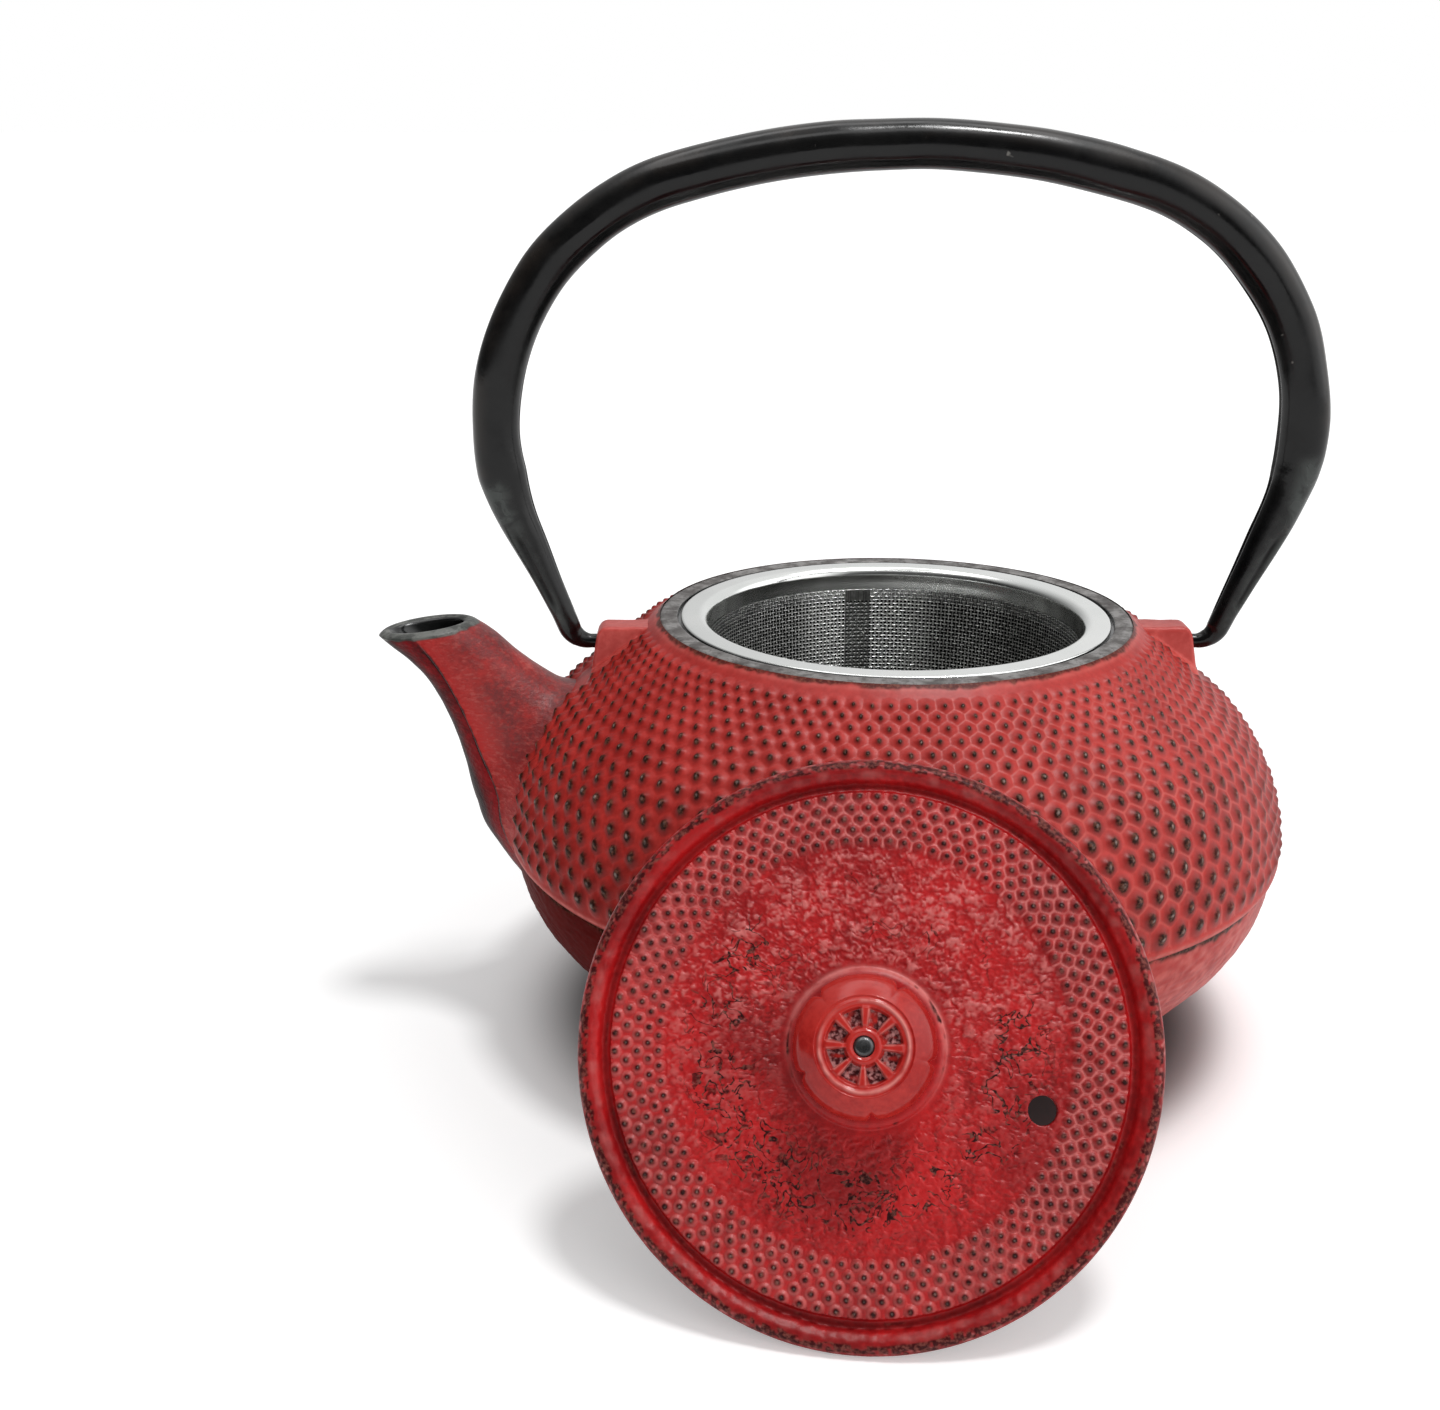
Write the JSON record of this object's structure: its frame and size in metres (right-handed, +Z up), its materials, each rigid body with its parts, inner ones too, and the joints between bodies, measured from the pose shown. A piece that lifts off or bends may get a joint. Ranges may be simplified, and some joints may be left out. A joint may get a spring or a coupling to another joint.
{
  "type": "cast iron teapot",
  "caption": "Low round red cast iron teapot with a studded shoulder, curved spout, swinging bail, lift-out steel infuser and a lid leaning on its side.",
  "frame": {"origin": "centre of the pot's flat foot", "axes": "+Z up along the pot's axis, -X towards the spout, the bail's pins along X, -Y towards the front where the lid leans"},
  "size_m": [0.1648, 0.1748, 0.1592],
  "materials": {
    "red_iron": "satin red lacquer with black patina",
    "dark_tube": "worn satin black",
    "infuser_steel": "polished and woven",
    "rivet_steel": "dark"
  },
  "bodies": {
    "pot": {"pot_body": "red_iron"},
    "bail": {"bail": "dark_tube"},
    "infuser": {"infuser_rim": "infuser_steel", "infuser_mesh_wall": "infuser_steel", "infuser_mesh_floor": "infuser_steel", "infuser_bottom_band": "infuser_steel", "infuser_seam": "infuser_steel"},
    "lid": {"lid_plate": "red_iron", "knob": "red_iron", "knob_rivet": "rivet_steel", "knob_washer": "rivet_steel"}
  },
  "joints": [
    {"name": "bail_hinge", "type": "hinge", "parent": "pot", "child": "bail", "pos_m": [0, 0, 0.0705], "axis": [-1, 0, 0], "range_deg": [-90, 120]},
    {"name": "infuser_lift", "type": "slide", "parent": "pot", "child": "infuser", "axis": [0, 0, 1], "range_m": [0, 0.06]},
    {"name": "lid_lift", "type": "slide", "parent": "pot", "child": "lid", "axis": [0, 0, 1], "range_m": [0, 0.1]}
  ]
}
